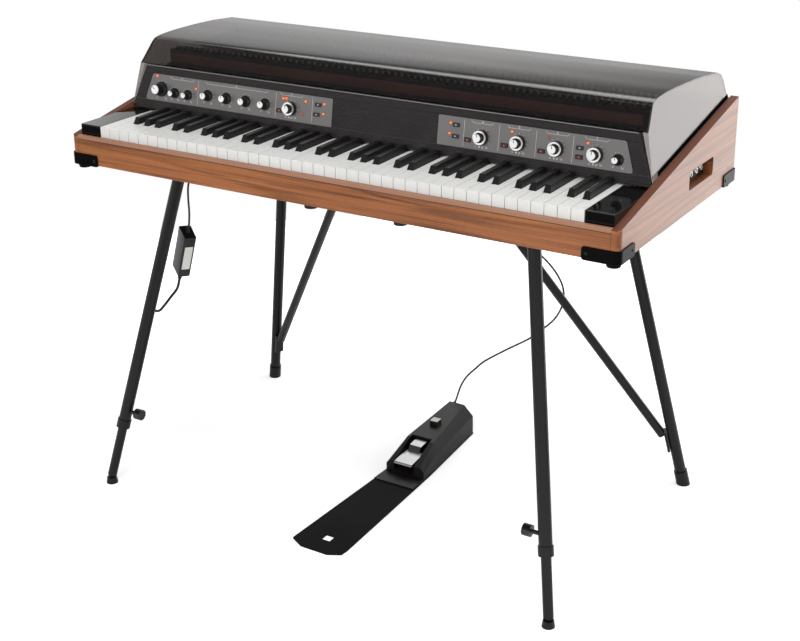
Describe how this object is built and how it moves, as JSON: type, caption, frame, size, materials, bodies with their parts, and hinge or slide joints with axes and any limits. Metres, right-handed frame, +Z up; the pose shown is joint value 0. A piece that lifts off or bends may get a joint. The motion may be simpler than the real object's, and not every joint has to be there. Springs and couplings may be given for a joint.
{
  "type": "electric piano",
  "caption": "Electric piano in a walnut case with a smoked clear lid and front control panel, on tubular telescoping legs with braces, a sustain pedal and a power supply.",
  "frame": {"origin": "on the floor, under the centre of the piano's bounding box", "axes": "+X to the player's right, +Y away from the player, +Z up"},
  "size_m": [1.147, 0.61, 0.8708],
  "materials": {
    "walnut": "satin oiled walnut",
    "base_black": "matte black",
    "cheek_gloss": "high gloss black",
    "bracket_metal": "satin black",
    "ivory": "gloss white",
    "ebony": "satin black",
    "panel_vinyl": "ribbed black vinyl",
    "plate_grey": "satin grey",
    "knob_black": "satin black",
    "button_black": "smooth black",
    "lid_smoked": "smoked clear",
    "harp_metal": "satin",
    "leg_black": "satin black",
    "pedal_black": "satin black",
    "pedal_chrome": "polished",
    "supply_black": "matte black",
    "cable_black": "matte black"
  },
  "bodies": {
    "case": {"front_rail": "walnut", "left_side_panel": "walnut", "right_side_panel": "walnut", "back_panel": "walnut", "base_board": "base_black", "left_cheek_block": "cheek_gloss", "right_cheek_block": "cheek_gloss", "front_left_corner_bracket": "bracket_metal", "front_right_corner_bracket": "bracket_metal", "rear_left_corner_bracket": "bracket_metal", "rear_right_corner_bracket": "bracket_metal", "key_frame_with_fixed_keys": "ivory", "control_panel": "panel_vinyl", "left_control_plate": "plate_grey", "right_control_plate": "plate_grey", "harp": "harp_metal", "front_left_leg": "leg_black", "front_right_leg": "leg_black", "rear_left_leg": "leg_black", "rear_right_leg": "leg_black", "left_brace": "leg_black", "right_brace": "leg_black", "pedal_base": "pedal_black", "power_brick": "supply_black", "dc_lead": "cable_black", "mains_lead": "cable_black", "mains_coil": "cable_black", "mains_plug": "supply_black", "pedal_lead": "cable_black"},
    "lid": {"lid": "lid_smoked"},
    "key_C": {"key_C": "ivory"},
    "key_C_sharp": {"key_C_sharp": "ebony"},
    "key_D": {"key_D": "ivory"},
    "key_D_sharp": {"key_D_sharp": "ebony"},
    "key_E": {"key_E": "ivory"},
    "key_F": {"key_F": "ivory"},
    "key_G": {"key_G": "ivory"},
    "volume_knob": {"volume_knob": "knob_black"},
    "bass_knob": {"bass_knob": "knob_black"},
    "treble_knob": {"treble_knob": "knob_black"},
    "tone_knob_1": {"tone_knob_1": "knob_black"},
    "tone_knob_2": {"tone_knob_2": "knob_black"},
    "tone_knob_3": {"tone_knob_3": "knob_black"},
    "tone_knob_4": {"tone_knob_4": "knob_black"},
    "drive_knob": {"drive_knob": "knob_black"},
    "effect_knob_1": {"effect_knob_1": "knob_black"},
    "effect_knob_2": {"effect_knob_2": "knob_black"},
    "effect_knob_3": {"effect_knob_3": "knob_black"},
    "effect_knob_4": {"effect_knob_4": "knob_black"},
    "output_knob": {"output_knob": "knob_black"},
    "drive_button": {"drive_button": "button_black"},
    "effect_button_1": {"effect_button_1": "button_black"},
    "effect_button_2": {"effect_button_2": "button_black"},
    "effect_button_3": {"effect_button_3": "button_black"},
    "effect_button_4": {"effect_button_4": "button_black"},
    "front_left_leg_extension": {"front_left_leg_extension": "leg_black"},
    "left_clamp_knob": {"left_clamp_knob": "knob_black"},
    "front_right_leg_extension": {"front_right_leg_extension": "leg_black"},
    "right_clamp_knob": {"right_clamp_knob": "knob_black"},
    "pedal_lever": {"pedal_lever": "pedal_chrome"}
  },
  "joints": [
    {"name": "lid_hinge", "type": "hinge", "parent": "case", "child": "lid", "pos_m": [0, 0.27336, 0.814], "axis": [-1, 0, 0], "range_deg": [0, 75]},
    {"name": "key_C_press", "type": "hinge", "parent": "case", "child": "key_C", "pos_m": [0, 0.00436, 0.7137], "axis": [1, 0, 0], "range_deg": [0, 2.44], "stiffness_Nm_per_rad": 1, "springref_deg": -17.19},
    {"name": "key_C_sharp_press", "type": "hinge", "parent": "case", "child": "key_C_sharp", "pos_m": [0, 0.00436, 0.7137], "axis": [1, 0, 0], "range_deg": [0, 2.44], "stiffness_Nm_per_rad": 1, "springref_deg": -17.19},
    {"name": "key_D_press", "type": "hinge", "parent": "case", "child": "key_D", "pos_m": [0, 0.00436, 0.7137], "axis": [1, 0, 0], "range_deg": [0, 2.44], "stiffness_Nm_per_rad": 1, "springref_deg": -17.19},
    {"name": "key_D_sharp_press", "type": "hinge", "parent": "case", "child": "key_D_sharp", "pos_m": [0, 0.00436, 0.7137], "axis": [1, 0, 0], "range_deg": [0, 2.44], "stiffness_Nm_per_rad": 1, "springref_deg": -17.19},
    {"name": "key_E_press", "type": "hinge", "parent": "case", "child": "key_E", "pos_m": [0, 0.00436, 0.7137], "axis": [1, 0, 0], "range_deg": [0, 2.44], "stiffness_Nm_per_rad": 1, "springref_deg": -17.19},
    {"name": "key_F_press", "type": "hinge", "parent": "case", "child": "key_F", "pos_m": [0, 0.00436, 0.7137], "axis": [1, 0, 0], "range_deg": [0, 2.44], "stiffness_Nm_per_rad": 1, "springref_deg": -17.19},
    {"name": "key_G_press", "type": "hinge", "parent": "case", "child": "key_G", "pos_m": [0, 0.00436, 0.7137], "axis": [1, 0, 0], "range_deg": [0, 2.44], "stiffness_Nm_per_rad": 1, "springref_deg": -17.19},
    {"name": "volume_knob_turn", "type": "hinge", "parent": "case", "child": "volume_knob", "pos_m": [-0.481, -0.07392, 0.776], "axis": [0, -0.9871, 0.1599], "range_deg": [-150, 150]},
    {"name": "bass_knob_turn", "type": "hinge", "parent": "case", "child": "bass_knob", "pos_m": [-0.447, -0.07457, 0.772], "axis": [0, -0.9871, 0.1599], "range_deg": [-150, 150]},
    {"name": "treble_knob_turn", "type": "hinge", "parent": "case", "child": "treble_knob", "pos_m": [-0.4145, -0.07457, 0.772], "axis": [0, -0.9871, 0.1599], "range_deg": [-150, 150]},
    {"name": "tone_knob_1_turn", "type": "hinge", "parent": "case", "child": "tone_knob_1", "pos_m": [-0.3655, -0.07384, 0.7765], "axis": [0, -0.9871, 0.1599], "range_deg": [-150, 150]},
    {"name": "tone_knob_2_turn", "type": "hinge", "parent": "case", "child": "tone_knob_2", "pos_m": [-0.32, -0.07384, 0.7765], "axis": [0, -0.9871, 0.1599], "range_deg": [-150, 150]},
    {"name": "tone_knob_3_turn", "type": "hinge", "parent": "case", "child": "tone_knob_3", "pos_m": [-0.274, -0.07384, 0.7765], "axis": [0, -0.9871, 0.1599], "range_deg": [-150, 150]},
    {"name": "tone_knob_4_turn", "type": "hinge", "parent": "case", "child": "tone_knob_4", "pos_m": [-0.228, -0.07384, 0.7765], "axis": [0, -0.9871, 0.1599], "range_deg": [-150, 150]},
    {"name": "drive_knob_turn", "type": "hinge", "parent": "case", "child": "drive_knob", "pos_m": [-0.1685, -0.074, 0.7755], "axis": [0, -0.9871, 0.1599], "range_deg": [-150, 150]},
    {"name": "effect_knob_1_turn", "type": "hinge", "parent": "case", "child": "effect_knob_1", "pos_m": [0.237, -0.07408, 0.775], "axis": [0, -0.9871, 0.1599], "range_deg": [-150, 150]},
    {"name": "effect_knob_2_turn", "type": "hinge", "parent": "case", "child": "effect_knob_2", "pos_m": [0.3085, -0.07408, 0.775], "axis": [0, -0.9871, 0.1599], "range_deg": [-150, 150]},
    {"name": "effect_knob_3_turn", "type": "hinge", "parent": "case", "child": "effect_knob_3", "pos_m": [0.38, -0.07408, 0.775], "axis": [0, -0.9871, 0.1599], "range_deg": [-150, 150]},
    {"name": "effect_knob_4_turn", "type": "hinge", "parent": "case", "child": "effect_knob_4", "pos_m": [0.452, -0.07408, 0.775], "axis": [0, -0.9871, 0.1599], "range_deg": [-150, 150]},
    {"name": "output_knob_turn", "type": "hinge", "parent": "case", "child": "output_knob", "pos_m": [0.4925, -0.07457, 0.772], "axis": [0, -0.9871, 0.1599], "range_deg": [-150, 150]},
    {"name": "drive_button_press", "type": "slide", "parent": "case", "child": "drive_button", "axis": [0, 0.9871, -0.1599], "range_m": [0, 0.0012], "stiffness_N_per_m": 800, "springref_m": -0.001},
    {"name": "effect_button_1_press", "type": "slide", "parent": "case", "child": "effect_button_1", "axis": [0, 0.9871, -0.1599], "range_m": [0, 0.0012], "stiffness_N_per_m": 800, "springref_m": -0.001},
    {"name": "effect_button_2_press", "type": "slide", "parent": "case", "child": "effect_button_2", "axis": [0, 0.9871, -0.1599], "range_m": [0, 0.0012], "stiffness_N_per_m": 800, "springref_m": -0.001},
    {"name": "effect_button_3_press", "type": "slide", "parent": "case", "child": "effect_button_3", "axis": [0, 0.9871, -0.1599], "range_m": [0, 0.0012], "stiffness_N_per_m": 800, "springref_m": -0.001},
    {"name": "effect_button_4_press", "type": "slide", "parent": "case", "child": "effect_button_4", "axis": [0, 0.9871, -0.1599], "range_m": [0, 0.0012], "stiffness_N_per_m": 800, "springref_m": -0.001},
    {"name": "front_left_leg_extension_slide", "type": "slide", "parent": "case", "child": "front_left_leg_extension", "axis": [-0.1727, -0.2138, -0.9615], "range_m": [-0.08, 0.06]},
    {"name": "left_clamp_knob_turn", "type": "hinge", "parent": "case", "child": "left_clamp_knob", "pos_m": [-0.46774, -0.26189, 0.154], "axis": [1, 0, 0], "range_deg": [0, 360]},
    {"name": "front_right_leg_extension_slide", "type": "slide", "parent": "case", "child": "front_right_leg_extension", "axis": [0.1727, -0.2138, -0.9615], "range_m": [-0.08, 0.06]},
    {"name": "right_clamp_knob_turn", "type": "hinge", "parent": "case", "child": "right_clamp_knob", "pos_m": [0.46774, -0.26189, 0.154], "axis": [-1, 0, 0], "range_deg": [0, 360]},
    {"name": "pedal_lever_press", "type": "hinge", "parent": "case", "child": "pedal_lever", "pos_m": [0.007, 0.12836, 0.044], "axis": [1, 0, 0], "range_deg": [0, 6.5], "stiffness_Nm_per_rad": 5, "springref_deg": -17.19}
  ]
}
